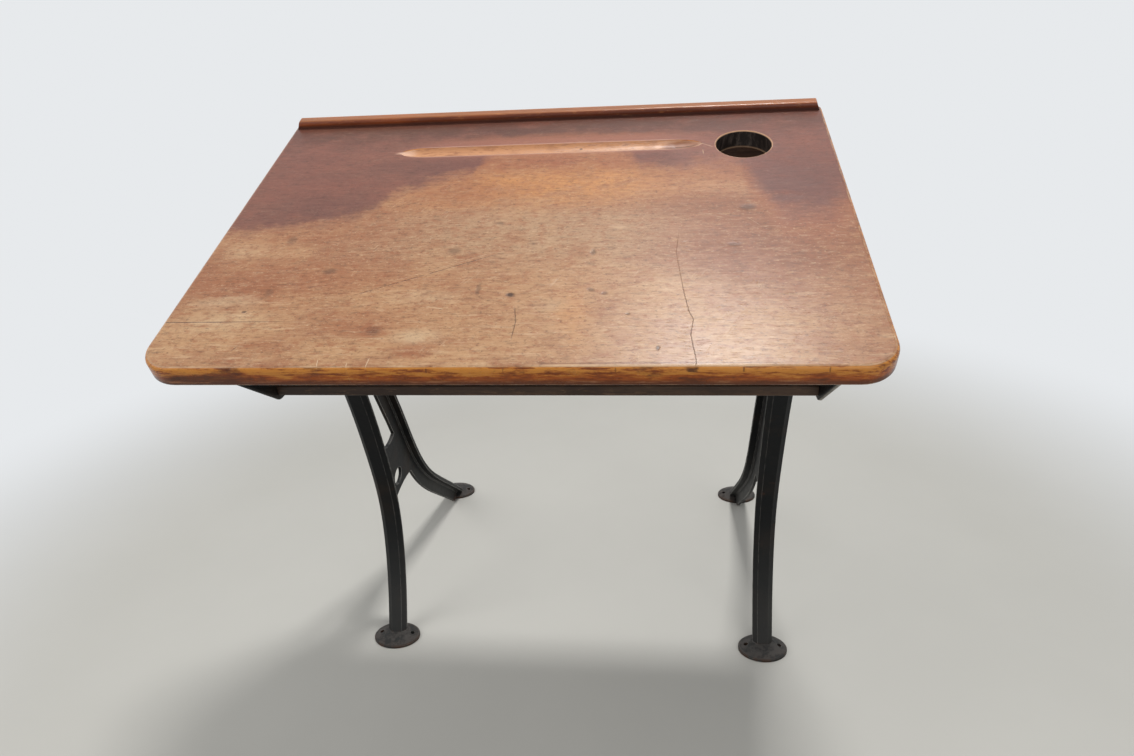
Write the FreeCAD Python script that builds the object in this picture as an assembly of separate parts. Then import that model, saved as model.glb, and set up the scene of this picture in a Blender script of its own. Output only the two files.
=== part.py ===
import FreeCAD, Part
import math
import os
from FreeCAD import Vector

# School desk with a fixed sloping top over an open book box, on two cast iron standards.
# Millimetres. X runs left to right, Y from the pupil's side to the back, Z up from the floor.
# While the pieces are drawn, Y is measured from the front edge of the top.
# They are moved to the middle of the desk's footprint when they are written.

# Top, measured along its slope
top_width = 609.6
top_depth = 432.0
top_thickness = 19.0
top_slope = 19.4
front_height = 614.0
front_corner_radius = 31.0
rear_corner_radius = 9.0
upper_arris_radius = 4.5
lower_arris_radius = 2.5
front_plank_width = 61.0
middle_plank_width = 186.0

# Rail along the back of the top
rail_depth = 15.0
rail_height = 8.0
rail_end_inset = 4.0
rail_end_slant = 3.0
rail_round = 4.0

# Pencil groove
groove_length = 331.0
groove_offset = 5.0
groove_from_back = 83.0
groove_width = 20.0
groove_sunk = 4.5
groove_taper = 30.0

# Inkwell hole
inkwell_from_end = 91.8
inkwell_from_back = 87.0
inkwell_radius = 28.65
inkwell_rim_wear = 1.0

# Standards: one casting each side
top_overhang = 28.8
plate_thickness = 5.0
cast_fillet = 2.0
box_plate_offset = 8.5
wing_front = 32.0
wing_edge_round = 2.0
wing_tip_setback = 3.5
wing_tip_drop = 2.0
top_flange_width = 26.0
top_flange_thickness = 4.0
ledge_width = 35.0
ledge_thickness = 4.0
ledge_setback = 24.0
flange_top_width = 32.0
flange_foot_width = 28.0
flange_thickness = 8.0
front_bevel = 6.5
rear_bevel = 3.0
bevel_steepness = 0.85
front_web_head = 26.0
front_web_foot = 22.0
rear_web_head = 38.0
rear_web_foot = 28.0
back_line_top = 402.0
back_line_shelf = 430.0
arch_radius = 19.0
leg_gap_top = 470.0
crossbar_top = 292.0
crossbar_bottom = 206.0
crossbar_bow = 13.0
crossbar_lap = 4.0
crossbar_hole_half_length = 17.0
crossbar_hole_half_height = 12.0
crossbar_hole_y = 469.0
crossbar_hole_z = 228.0

# Feet
front_foot = 369.5
rear_foot = 781.0
foot_half_width = 35.0
foot_half_depth = 27.0
foot_rim_height = 5.0
foot_crown_height = 9.0
foot_crown_half_width = 19.0
foot_crown_half_depth = 15.0
foot_rim_round = 1.5
foot_rim_flat = 1.0
foot_hole_radius = 3.25
foot_hole_spacing = 48.0
foot_hole_setback = 1.0
ankle_offset = 3.0

# Bends of the legs between foot and shelf, as (y, z) on the outer faces
front_leg_bends = [(332.0, 468.0), (365.0, 406.0), (398.0, 298.0), (414.0, 213.0), (401.5, 100.0)]
rear_leg_bends = [(497.0, 333.0), (567.0, 200.0), (665.0, 104.0)]
wing_root = 268.0
root_drop = 1.0
trimmed_length = 30.0

# Book shelf
shelf_front = 181.0
shelf_below_front = 111.0
shelf_thickness = 12.0
shelf_round = 2.5
front_shelf_width = 121.0
shelf_end_clearance = 0.5

# Boards that close the back of the book box
back_board_overlap = 2.0
back_board_height = 79.0
back_board_thickness = 10.0
back_board_joint = 1.0
back_board_count = 3
back_board_round = 2.0
under_top_clearance = 0.3

# Fasteners
screw_shank_radius = 2.4
screw_head_radius = 4.5
screw_head_height = 2.6
screw_head_edge = 1.0
screw_crown_radius = 2.6
screw_slot_width = 1.2
screw_slot_depth = 1.2
screw_tip_length = 4.0
pilot_clearance = 0.15
pilot_spare_depth = 1.0
iron_hole_clearance = 0.4
top_screw_length = 17.0
top_screw_places = [40.0, 158.0, 282.0, 392.0]
top_screw_inset = 13.0
shelf_screw_length = 13.0
shelf_screw_places = [224.0, 284.0, 384.0]
shelf_screw_inset = 28.0
rail_screw_length = 24.5
rail_screw_spacing = 160.0
rail_screw_count = 4
bolt_radius = 2.4
bolt_head_radius = 6.5
bolt_head_height = 2.8
bolt_head_edge = 0.8
bolt_crown_radius = 3.6
bolt_tail = 2.0
bolt_inset = 9.5
nut_width = 8.0
nut_thickness = 4.0
nut_chamfer = 0.7

# Values that follow from the ones above
slope = math.radians(top_slope)
rise = math.sin(slope)
run = math.cos(slope)
top_lead = upper_arris_radius * (run + rise) - upper_arris_radius
desk_middle = (top_lead + rear_foot + foot_half_depth) / 2.0
half_spacing = top_width / 2.0 - top_overhang
inkwell_x = top_width / 2.0 - inkwell_from_end
inkwell_centre = top_depth - inkwell_from_back
groove_left = groove_offset - groove_length / 2.0
groove_right = groove_offset + groove_length / 2.0
groove_centre = top_depth - groove_from_back
back_board_width = 2.0 * half_spacing + flange_foot_width + 2.0 * back_board_overlap
shelf_underside = front_height - shelf_below_front
ledge_underside = shelf_underside - ledge_thickness
shelf_top = shelf_underside + shelf_thickness
box_inside = half_spacing + box_plate_offset - plate_thickness / 2.0

# Cutting shapes run past what they cut by spare, or by reach where they clear the whole desk
spare = 1.0
reach = 1000.0

# Places nearer to each other than this are one place
same_place = 1e-4


def underside(y):
    """Height of the top's lower face at a place y."""
    return front_height - top_thickness * run + (y - top_thickness * rise) * math.tan(slope)


back_line_height = underside(back_line_top)
back_lean = math.atan2(back_line_shelf - back_line_top, back_line_height - shelf_top)


def tilted(shape):
    """Set a shape drawn level, with its upper face at Z = 0, on the slope of the top."""
    shape = shape.copy()
    shape.rotate(Vector(0, 0, 0), Vector(1, 0, 0), top_slope)
    shape.translate(Vector(0, 0, front_height))
    return shape


def on_back(shape):
    """Set a shape drawn with Y out of the back and Z up the boards on the leaning back line."""
    shape = shape.copy()
    shape.rotate(Vector(0, 0, 0), Vector(1, 0, 0), math.degrees(back_lean))
    shape.translate(Vector(0, back_line_top, back_line_height))
    return shape


def side_plate(outline, low, high):
    """Plate with an outline in the Y-Z plane, from x = low to x = high."""
    face = Part.Face(outline)
    face.translate(Vector(low, 0, 0))
    return face.extrude(Vector(high - low, 0, 0))


def mirrored(shape):
    """The same shape on the other side of the desk."""
    return shape.mirror(Vector(0, 0, 0), Vector(1, 0, 0))


def edges_at_height(shape, height):
    """Edges that lie wholly at one height."""
    return [e for e in shape.Edges if all(abs(v.Point.z - height) < same_place for v in e.Vertexes)]


def upright_corners(shape, height):
    """Upright edges of a flat plate on its free side, away from x = 0."""
    return [e for e in shape.Edges if abs(e.Length - height) < same_place and e.CenterOfMass.x > 0]


def bow_radius(half_width, height):
    """Radius of the arc that is as wide as two half widths and as high as height."""
    return (half_width ** 2 + height ** 2) / (2 * height)


def bow(end, crown, axis):
    """Arc that leaves crown square to axis and ends at end."""
    out = end - crown
    height = abs(out.dot(axis))
    side = (out - axis * out.dot(axis)).normalize()
    half_width = abs(out.dot(side))
    radius = bow_radius(half_width, height)
    half_turn = math.asin(half_width / radius) / 2
    middle = crown + side * radius * math.sin(half_turn) - axis * radius * (1 - math.cos(half_turn))
    return Part.Arc(crown, middle, end).toShape()


def wood_screw(length):
    """Round-headed screw pointing up, with the seat of its head at Z = 0."""
    steps = [
        Vector(0, 0, -screw_head_height),
        Vector(screw_crown_radius, 0, -screw_head_height),
        Vector(screw_head_radius, 0, -screw_head_edge),
        Vector(screw_head_radius, 0, 0),
        Vector(screw_shank_radius, 0, 0),
        Vector(screw_shank_radius, 0, length - screw_tip_length),
        Vector(0, 0, length),
    ]
    outline = Part.makePolygon(steps + steps[:1])
    solid = Part.Face(outline).revolve(Vector(0, 0, 0), Vector(0, 0, 1), 360)
    slot = Part.makeBox(4 * screw_head_radius, screw_slot_width, screw_slot_depth)
    slot.translate(Vector(-2 * screw_head_radius, -screw_slot_width / 2, -screw_head_height))
    return solid.cut(slot)


def flat_screw(length):
    """Countersunk screw pointing up, with its flat head at Z = 0."""
    steps = [
        Vector(0, 0, 0),
        Vector(screw_head_radius, 0, 0),
        Vector(screw_shank_radius, 0, screw_head_height),
        Vector(screw_shank_radius, 0, length - screw_tip_length),
        Vector(0, 0, length),
    ]
    outline = Part.makePolygon(steps + steps[:1])
    solid = Part.Face(outline).revolve(Vector(0, 0, 0), Vector(0, 0, 1), 360)
    slot = Part.makeBox(4 * screw_head_radius, screw_slot_width, screw_slot_depth)
    slot.translate(Vector(-2 * screw_head_radius, -screw_slot_width / 2, 0))
    return solid.cut(slot)


def pilot(length):
    """Hole that a screw of this length turns into, from Z = 0 up."""
    return Part.makeCylinder(screw_shank_radius + pilot_clearance, length + pilot_spare_depth)


def flat_pilot(length):
    """Hole with a countersink for a flat-headed screw."""
    sink = Part.makeCone(screw_head_radius + pilot_clearance, screw_shank_radius + pilot_clearance,
                         screw_head_height)
    return pilot(length).fuse(sink)


def top_screw_spots():
    """Places of the left standard's screws, on the top's own slope, under the top flange."""
    x = -box_inside + top_screw_inset
    return [Vector(x, v, -top_thickness - top_flange_thickness) for v in top_screw_places]


def rail_screw_spots():
    """Places of the rail's screws, on the top's own slope."""
    start = -rail_screw_spacing * (rail_screw_count - 1) / 2
    v = top_depth - rail_depth / 2
    return [Vector(start + i * rail_screw_spacing, v, -top_thickness) for i in range(rail_screw_count)]


def shelf_screw_spots():
    """Places of the left standard's shelf screws, under its ledge."""
    x = -box_inside + shelf_screw_inset
    return [Vector(x, y, ledge_underside) for y in shelf_screw_places]


def back_bolt_heights():
    """Middle of each back board, down from the top along the back line."""
    pitch = back_board_height + back_board_joint
    first = -under_top_clearance - back_board_height / 2
    return [first - i * pitch for i in range(back_board_count)]


def placed(shape, spots):
    """Copies of a shape at several places."""
    copies = []
    for spot in spots:
        copy = shape.copy()
        copy.translate(spot)
        copies.append(copy)
    return copies


def rounded_outline(width, depth, front_radius, rear_radius):
    """Outline of the top, seen square on, with its front edge along Y = 0."""
    h = width / 2
    f = front_radius
    r = rear_radius
    k = 1 - math.sqrt(0.5)
    runs = [
        (Vector(-h + f, 0, 0), Vector(h - f, 0, 0)),
        (Vector(h, f, 0), Vector(h, depth - r, 0)),
        (Vector(h - r, depth, 0), Vector(-h + r, depth, 0)),
        (Vector(-h, depth - r, 0), Vector(-h, f, 0)),
    ]
    turns = [
        Vector(h - f * k, f * k, 0),
        Vector(h - r * k, depth - r * k, 0),
        Vector(-h + r * k, depth - r * k, 0),
        Vector(-h + f * k, f * k, 0),
    ]
    edges = []
    for i, (start, end) in enumerate(runs):
        following = runs[(i + 1) % 4][0]
        edges.append(Part.makeLine(start, end))
        edges.append(Part.Arc(end, turns[i], following).toShape())
    return Part.Wire(edges)


def pencil_groove():
    """Cove that runs out to a point at each end, as a spindle laid in the top."""
    radius = bow_radius(groove_width / 2, groove_sunk)
    axis_height = radius - groove_sunk
    left_in = Vector(groove_left + groove_taper, 0, -radius)
    right_in = Vector(groove_right - groove_taper, 0, -radius)
    left_tip = Vector(groove_left, 0, -axis_height)
    right_tip = Vector(groove_right, 0, -axis_height)
    left_axis = Vector(groove_left, 0, 0)
    right_axis = Vector(groove_right, 0, 0)
    down = Vector(0, 0, -1)
    edges = [
        Part.makeLine(left_axis, left_tip),
        bow(left_tip, left_in, down),
        Part.makeLine(left_in, right_in),
        bow(right_tip, right_in, down),
        Part.makeLine(right_tip, right_axis),
        Part.makeLine(right_axis, left_axis),
    ]
    spindle = Part.Face(Part.Wire(edges)).revolve(Vector(0, 0, 0), Vector(1, 0, 0), 360)
    spindle.translate(Vector(0, groove_centre, axis_height))
    return spindle


def inkwell_hole():
    """Hole right through the top, with the wear of its upper rim."""
    bore = Part.makeCylinder(inkwell_radius, 3 * top_thickness, Vector(0, 0, -2 * top_thickness))
    wear = Part.makeCone(inkwell_radius, inkwell_radius + 2 * inkwell_rim_wear, 2 * inkwell_rim_wear,
                         Vector(0, 0, -inkwell_rim_wear))
    hole = bore.fuse(wear)
    hole.translate(Vector(inkwell_x, inkwell_centre, 0))
    return hole


def top_planks():
    """The three planks of the top, glued edge to edge."""
    outline = rounded_outline(top_width, top_depth, front_corner_radius, rear_corner_radius)
    slab = Part.Face(outline).extrude(Vector(0, 0, -top_thickness))
    slab = slab.makeFillet(upper_arris_radius, edges_at_height(slab, 0.0))
    slab = slab.makeFillet(lower_arris_radius, edges_at_height(slab, -top_thickness))
    holes = [pencil_groove(), inkwell_hole()]
    left_holes = placed(pilot(top_screw_length), top_screw_spots())
    holes += left_holes
    holes += [mirrored(h) for h in left_holes]
    holes += placed(flat_pilot(rail_screw_length), rail_screw_spots())
    slab = slab.cut(holes)
    joints = [0.0, front_plank_width, front_plank_width + middle_plank_width, top_depth]
    planks = []
    for near, far in zip(joints, joints[1:]):
        strip = Part.makeBox(top_width + 2 * spare, far - near, top_thickness + 2 * spare,
                             Vector(-top_width / 2 - spare, near, -top_thickness - spare))
        planks.append(tilted(slab.common(strip)))
    return planks


def rear_rail():
    """Low rail that stops pens and books at the back of the top, with slanted ends."""
    half = top_width / 2 - rail_end_inset
    front = top_depth - rail_depth
    crest_half = half - rail_end_slant
    corners = [
        Vector(-half, front, 0),
        Vector(half, front, 0),
        Vector(crest_half, front, rail_height),
        Vector(-crest_half, front, rail_height),
    ]
    bar = Part.Face(Part.makePolygon(corners + corners[:1])).extrude(Vector(0, rail_depth, 0))
    crest = [e for e in edges_at_height(bar, rail_height) if e.Length > half]
    bar = bar.makeFillet(rail_round, crest)
    holes = placed(pilot(rail_screw_length), rail_screw_spots())
    return tilted(bar.cut(holes))


def leg_section(at, inward, width, bevel, depth):
    """T section of a leg: a bevelled flange outside and a thin web behind it."""
    half = width / 2
    drop = bevel * bevel_steepness
    web = plate_thickness / 2
    corners = [
        (half - bevel, 0.0), (half, drop), (half, flange_thickness), (web + cast_fillet, flange_thickness),
        (web, flange_thickness + cast_fillet), (web, depth),
    ]
    ring = corners + [(-x, d) for x, d in reversed(corners)]
    points = [at + Vector(x, 0, 0) + inward * d for x, d in ring]
    return Part.makePolygon(points + points[:1])


def swept_leg(path, sections):
    """Leg cast along a curved line in the plane of its standard."""
    pipe = Part.BRepOffsetAPI.MakePipeShell(path)
    pipe.setBiNormalMode(Vector(1, 0, 0))
    for section in sections:
        pipe.add(section)
    pipe.build()
    pipe.makeSolid()
    solid = pipe.shape()
    if solid.Volume < 0:
        solid.reverse()
    return solid


def leg_curve(points, first_way=None):
    """Smooth line through (y, z) points, leaving the first one in a set direction if there is one."""
    places = [Vector(0, y, z) for y, z in points]
    curve = Part.BSplineCurve()
    if first_way is None:
        curve.interpolate(Points=places)
    else:
        others = places[1:]
        curve.interpolate(Points=places, Tangents=[first_way] + [Vector(0, 0, 0) for p in others],
                          TangentFlags=[True] + [False for p in others])
    return curve.toShape()


def inward_from(way, side):
    """Direction into the casting from an outer face that runs along way."""
    return Vector(0, -way.z, way.y) * side


def front_leg():
    """Front leg, from under the ledge down to the front foot."""
    start = (wing_root, ledge_underside - root_drop)
    end = (front_foot - ankle_offset, foot_rim_height)
    edge = leg_curve([start] + front_leg_bends + [end])
    start_way = edge.tangentAt(edge.FirstParameter)
    end_way = edge.tangentAt(edge.LastParameter)
    head = leg_section(Vector(0, *start), inward_from(start_way, 1), flange_top_width, front_bevel,
                       front_web_head)
    foot_end = leg_section(Vector(0, *end), inward_from(end_way, 1), flange_foot_width, front_bevel,
                           front_web_foot)
    return swept_leg(Part.Wire([edge]), [head, foot_end])


def rear_leg():
    """Rear edge of the casting: straight up the book box, then swept back to the rear foot."""
    down_back = Vector(0, math.sin(back_lean), -math.cos(back_lean))
    high = Vector(0, back_line_top, back_line_height) - down_back * trimmed_length
    boarded = under_top_clearance + back_board_count * (back_board_height + back_board_joint)
    turn = Vector(0, back_line_top, back_line_height) + down_back * boarded
    end = (rear_foot + ankle_offset, foot_rim_height)
    straight = Part.makeLine(high, turn)
    curve = leg_curve([(turn.y, turn.z)] + rear_leg_bends + [end], down_back)
    end_way = curve.tangentAt(curve.LastParameter)
    head = leg_section(high, inward_from(down_back, -1), flange_foot_width, rear_bevel, rear_web_head)
    foot_end = leg_section(Vector(0, *end), inward_from(end_way, -1), flange_foot_width, rear_bevel,
                           rear_web_foot)
    return swept_leg(Part.Wire([straight, curve]), [head, foot_end])


def box_end():
    """Thin plate that closes the side of the book box and runs forward as a wing under the top."""
    web = flange_thickness / 2
    lean = back_line_shelf - web
    tip_height = ledge_underside - wing_tip_drop
    high = Vector(0, wing_front, underside(wing_front))
    tip = Vector(0, shelf_front + wing_tip_setback, tip_height)
    corners = [
        high,
        tip,
        Vector(0, lean, tip_height),
        Vector(0, lean, shelf_underside),
        Vector(0, back_line_top - web, underside(back_line_top - web)),
    ]
    low = -box_plate_offset - plate_thickness / 2
    plate = side_plate(Part.makePolygon(corners + corners[:1]), low, low + plate_thickness)
    front_middle = (high + tip) / 2
    front = [e for e in plate.Edges if abs(e.CenterOfMass.y - front_middle.y) < same_place]
    return plate.makeFillet(wing_edge_round, front)


def arch_web():
    """Web under the ledge that joins the heads of the two legs, with an arch between them."""
    half = plate_thickness / 2
    lean = back_line_shelf - flange_thickness / 2
    arch_middle = (front_leg_bends[0][0] + front_web_head + lean - rear_web_head) / 2 + arch_radius / 2
    ledge_middle = ledge_underside + ledge_thickness / 2
    left = Vector(0, arch_middle - arch_radius, leg_gap_top)
    right = Vector(0, arch_middle + arch_radius, leg_gap_top)
    arch = Part.Arc(left, Vector(0, arch_middle, leg_gap_top + arch_radius), right).toShape()
    corners = [
        right,
        Vector(0, lean, leg_gap_top),
        Vector(0, lean, ledge_middle),
        Vector(0, wing_root + flange_thickness + cast_fillet, ledge_middle),
        Vector(0, front_leg_bends[0][0] + flange_thickness, leg_gap_top),
        left,
    ]
    sides = [Part.makeLine(a, b) for a, b in zip(corners, corners[1:])]
    return side_plate(Part.Wire([arch] + sides), -half, half)


def top_flange():
    """Flange under the top that takes its screws."""
    near = (wing_front - top_thickness * rise) / run
    far = (back_line_top - top_thickness * rise) / run - top_flange_thickness
    low = -top_thickness - top_flange_thickness
    width = plate_thickness / 2 + top_flange_width
    flange = Part.makeBox(width, far - near, top_flange_thickness, Vector(-box_plate_offset, near, low))
    return tilted(flange.makeFillet(top_flange_width / 3, upright_corners(flange, top_flange_thickness)))


def shelf_ledge():
    """Ledge that carries an end of the book shelf."""
    far = back_line_shelf - flange_thickness
    width = plate_thickness / 2 + ledge_width
    near = shelf_front + ledge_setback
    ledge = Part.makeBox(width, far - near, ledge_thickness, Vector(-box_plate_offset, near, ledge_underside))
    return ledge.makeFillet(ledge_width / 3, upright_corners(ledge, ledge_thickness))


def crossbar():
    """Web that ties the two legs, pierced by an oval hole."""
    half = plate_thickness / 2
    high = crossbar_top + crossbar_bow
    low = crossbar_bottom - crossbar_bow
    front_high = Vector(0, front_leg_bends[3][0], high)
    front_low = Vector(0, front_leg_bends[3][0] + flange_thickness, low)
    rear_high = Vector(0, rear_leg_bends[0][0] - crossbar_lap, high)
    rear_low = Vector(0, rear_leg_bends[1][0] - flange_thickness, low)
    upper_middle = (front_high + rear_high) / 2 - Vector(0, 0, crossbar_bow)
    lower_middle = (front_low + rear_low) / 2 + Vector(0, 0, crossbar_bow)
    edges = [
        Part.Arc(front_high, upper_middle, rear_high).toShape(),
        Part.makeLine(rear_high, rear_low),
        Part.Arc(rear_low, lower_middle, front_low).toShape(),
        Part.makeLine(front_low, front_high),
    ]
    plate = side_plate(Part.Wire(edges), -half, half)
    ring = oval(crossbar_hole_half_length, crossbar_hole_half_height, 0)
    ring.rotate(Vector(0, 0, 0), Vector(0, 0, 1), 90)
    ring.rotate(Vector(0, 0, 0), Vector(0, 1, 0), 90)
    ring.translate(Vector(-plate_thickness, crossbar_hole_y, crossbar_hole_z))
    hole = Part.Face(ring).extrude(Vector(2 * plate_thickness, 0, 0))
    return plate.cut(hole)


def oval(half_width, half_depth, height):
    """Oval outline lying level at a height."""
    curve = Part.Ellipse(Vector(0, 0, height), half_width, half_depth)
    return Part.Wire([curve.toShape()])


def foot(place, towards_leg):
    """Low crowned oval pad with two holes for floor screws."""
    edge_height = foot_rim_height - foot_rim_round
    pad = Part.Face(oval(foot_half_width, foot_half_depth, 0)).extrude(Vector(0, 0, edge_height))
    shoulder = Part.makeLoft([
        oval(foot_half_width, foot_half_depth, edge_height),
        oval(foot_half_width - foot_rim_round, foot_half_depth - foot_rim_round, foot_rim_height),
    ], True)
    inset = foot_rim_round + foot_rim_flat
    crown = Part.makeLoft([
        oval(foot_half_width - inset, foot_half_depth - inset, foot_rim_height),
        oval(foot_crown_half_width, foot_crown_half_depth, foot_crown_height),
    ], True)
    pad = pad.fuse([shoulder, crown])
    for side in (-1, 1):
        spot = Vector(side * foot_hole_spacing / 2, towards_leg * foot_hole_setback, -spare)
        pad = pad.cut(Part.makeCylinder(foot_hole_radius, foot_crown_height + 2 * spare, spot))
    pad.translate(Vector(0, place, 0))
    return pad


def left_standard():
    """The whole left casting, drawn round its own plate and moved to its side."""
    legs = [rear_leg(), front_leg(), shelf_ledge(), crossbar(), foot(front_foot, 1), foot(rear_foot, -1)]
    casting = arch_web().multiFuse(legs)
    above_shelf = Part.makeBox(reach, 2 * reach, reach, Vector(-reach / 2, -reach, shelf_underside))
    flange_face = Vector(-reach / 2, -reach - flange_thickness, -reach)
    before_flange = Part.makeBox(reach, reach, 2 * reach, flange_face)
    book_room = above_shelf.common(on_back(before_flange))
    below_floor = Part.makeBox(reach, 2 * reach, reach, Vector(-reach / 2, -reach / 2, -reach))
    casting = casting.cut([book_room, below_floor])
    above_top = Part.makeBox(reach, reach, reach, Vector(-reach / 2, -reach / 4, -top_thickness))
    casting = casting.multiFuse([box_end(), top_flange()]).cut(tilted(above_top))
    casting.translate(Vector(-half_spacing, 0, 0))
    holes = []
    through = screw_shank_radius + iron_hole_clearance
    for spot in top_screw_spots():
        bore = Part.makeCylinder(through, top_flange_thickness + 2 * spare, spot - Vector(0, 0, spare))
        holes.append(tilted(bore))
    for spot in shelf_screw_spots():
        holes.append(Part.makeCylinder(through, ledge_thickness + 2 * spare, spot - Vector(0, 0, spare)))
    for spot in left_bolt_spots():
        bore = Part.makeCylinder(bolt_radius + iron_hole_clearance, flange_thickness + 2 * spare,
                                 spot + Vector(0, spare, 0), Vector(0, -1, 0))
        holes.append(on_back(bore))
    return casting.cut(holes)


def left_bolt_spots():
    """Places of the left bolts on the back line, between the boards and the flange."""
    x = -half_spacing + bolt_inset
    return [Vector(x, 0, z) for z in back_bolt_heights()]


def shelf_boards():
    """The two boards of the book shelf, the rear one notched round the standards' back flanges."""
    half = box_inside - shelf_end_clearance
    joint = shelf_front + front_shelf_width
    rear_edge = back_line_shelf - shelf_end_clearance
    front = Part.makeBox(2 * half, front_shelf_width, shelf_thickness,
                         Vector(-half, shelf_front, shelf_underside))
    arrises = [e for e in front.Edges if abs(e.CenterOfMass.y - shelf_front) < same_place and e.Length > half]
    front = front.makeFillet(shelf_round, arrises)
    rear = Part.makeBox(2 * half, rear_edge - joint, shelf_thickness, Vector(-half, joint, shelf_underside))
    flange_edge = half_spacing - flange_foot_width / 2
    notch_width = half - flange_edge + shelf_end_clearance
    notch_start = back_line_shelf - flange_thickness / math.cos(back_lean) - shelf_end_clearance
    notch = Part.makeBox(2 * notch_width, reach, shelf_thickness + 2 * spare,
                         Vector(-half - notch_width, notch_start, shelf_underside - spare))
    rear = rear.cut([notch, mirrored(notch)])
    screws = placed(pilot(shelf_screw_length), shelf_screw_spots())
    screws += [mirrored(s) for s in screws]
    return front.cut(screws), rear.cut(screws)


def back_boards():
    """Boards across the back of the book box, bolted to the castings."""
    boards = []
    half = back_board_width / 2
    for height in back_bolt_heights():
        low = height - back_board_height / 2
        board = Part.makeBox(back_board_width, back_board_thickness, back_board_height, Vector(-half, 0, low))
        outer = [e for e in board.Edges if abs(e.CenterOfMass.y - back_board_thickness) < same_place]
        board = board.makeFillet(back_board_round, outer)
        for side in (-1, 1):
            spot = Vector(side * (half_spacing - bolt_inset), -spare, height)
            bore = Part.makeCylinder(bolt_radius + pilot_clearance, back_board_thickness + 2 * spare,
                                     spot, Vector(0, 1, 0))
            board = board.cut(bore)
        boards.append(on_back(board))
    return boards


def back_bolt():
    """Round-headed coach bolt lying along -Y, with the seat of its head at Y = 0."""
    length = back_board_thickness + flange_thickness + nut_thickness + bolt_tail
    steps = [
        Vector(0, bolt_head_height, 0),
        Vector(bolt_crown_radius, bolt_head_height, 0),
        Vector(bolt_head_radius, bolt_head_edge, 0),
        Vector(bolt_head_radius, 0, 0),
        Vector(bolt_radius, 0, 0),
        Vector(bolt_radius, -length, 0),
        Vector(0, -length, 0),
    ]
    outline = Part.makePolygon(steps + steps[:1])
    return Part.Face(outline).revolve(Vector(0, 0, 0), Vector(0, 1, 0), 360)


def square_nut():
    """Square nut lying along -Y, with its seat at Y = 0."""
    half = nut_width / 2
    block = Part.makeBox(nut_width, nut_thickness, nut_width, Vector(-half, -nut_thickness, -half))
    outer = [e for e in block.Edges if abs(e.CenterOfMass.y + nut_thickness) < same_place]
    block = block.makeChamfer(nut_chamfer, outer)
    bore = Part.makeCylinder(bolt_radius + pilot_clearance, nut_thickness + 2 * spare,
                             Vector(0, spare, 0), Vector(0, -1, 0))
    return block.cut(bore)


def group(shapes):
    """Separate solids that share one node."""
    return Part.makeCompound(shapes)


def write(name, shape):
    """Write one node, moved to the middle of the desk's footprint."""
    shape = shape.copy()
    shape.translate(Vector(0, -desk_middle, 0))
    shape.exportStep("parts/" + name + ".step")
    solids = shape.Solids
    print(name, "solids", len(solids), "valid", shape.isValid(), "cm3", round(shape.Volume / 1000, 1))


os.makedirs("parts", exist_ok=True)

front_plank, middle_plank, rear_plank = top_planks()
write("top_plank_front", front_plank)
write("top_plank_middle", middle_plank)
write("top_plank_rear", rear_plank)
write("rear_rail", rear_rail())

shelf_front_board, shelf_rear_board = shelf_boards()
write("shelf_board_front", shelf_front_board)
write("shelf_board_rear", shelf_rear_board)

for label, back_board in zip(("upper", "middle", "lower"), back_boards()):
    write("back_board_" + label, back_board)

casting = left_standard()
write("left_standard", casting)
write("right_standard", mirrored(casting))

top_screws = [tilted(s) for s in placed(wood_screw(top_screw_length), top_screw_spots())]
shelf_screws = placed(wood_screw(shelf_screw_length), shelf_screw_spots())
head_seat = Vector(0, back_board_thickness, 0)
nut_seat = Vector(0, -flange_thickness, 0)
bolts = [on_back(b) for b in placed(back_bolt(), [s + head_seat for s in left_bolt_spots()])]
nuts = [on_back(n) for n in placed(square_nut(), [s + nut_seat for s in left_bolt_spots()])]
left_fasteners = {
    "top_screws": top_screws,
    "shelf_screws": shelf_screws,
    "back_bolts": bolts,
    "back_nuts": nuts,
}
for name, pieces in left_fasteners.items():
    write(name + "_left", group(pieces))
    write(name + "_right", group([mirrored(p) for p in pieces]))

rail_screws = [tilted(s) for s in placed(flat_screw(rail_screw_length), rail_screw_spots())]
write("rail_screws", group(rail_screws))
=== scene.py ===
import math

import bpy
from mathutils import Matrix, Vector


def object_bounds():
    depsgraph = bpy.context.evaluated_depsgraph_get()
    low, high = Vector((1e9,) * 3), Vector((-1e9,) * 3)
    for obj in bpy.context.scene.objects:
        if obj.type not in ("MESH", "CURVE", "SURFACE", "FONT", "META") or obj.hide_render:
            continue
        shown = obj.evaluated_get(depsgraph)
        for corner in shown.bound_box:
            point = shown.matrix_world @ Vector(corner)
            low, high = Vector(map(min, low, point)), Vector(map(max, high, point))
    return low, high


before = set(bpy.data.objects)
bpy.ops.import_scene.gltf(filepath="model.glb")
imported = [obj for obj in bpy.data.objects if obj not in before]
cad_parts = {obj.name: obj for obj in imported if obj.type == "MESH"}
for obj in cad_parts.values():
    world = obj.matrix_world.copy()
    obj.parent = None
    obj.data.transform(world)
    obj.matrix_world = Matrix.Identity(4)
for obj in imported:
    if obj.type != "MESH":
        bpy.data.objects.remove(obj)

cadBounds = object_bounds()
print("frame loaded:", len(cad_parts), "nodes")


# one socket of a material, used in sums
class Value:
    def __init__(self, paint, socket):
        self.paint = paint
        self.socket = socket

    def __add__(self, other):
        return self.paint.math("ADD", self, other)

    def __radd__(self, other):
        return self.paint.math("ADD", other, self)

    def __sub__(self, other):
        return self.paint.math("SUBTRACT", self, other)

    def __rsub__(self, other):
        return self.paint.math("SUBTRACT", other, self)

    def __mul__(self, other):
        return self.paint.math("MULTIPLY", self, other)

    def __rmul__(self, other):
        return self.paint.math("MULTIPLY", other, self)

    def __abs__(self):
        return self.paint.math("ABSOLUTE", self)


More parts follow.
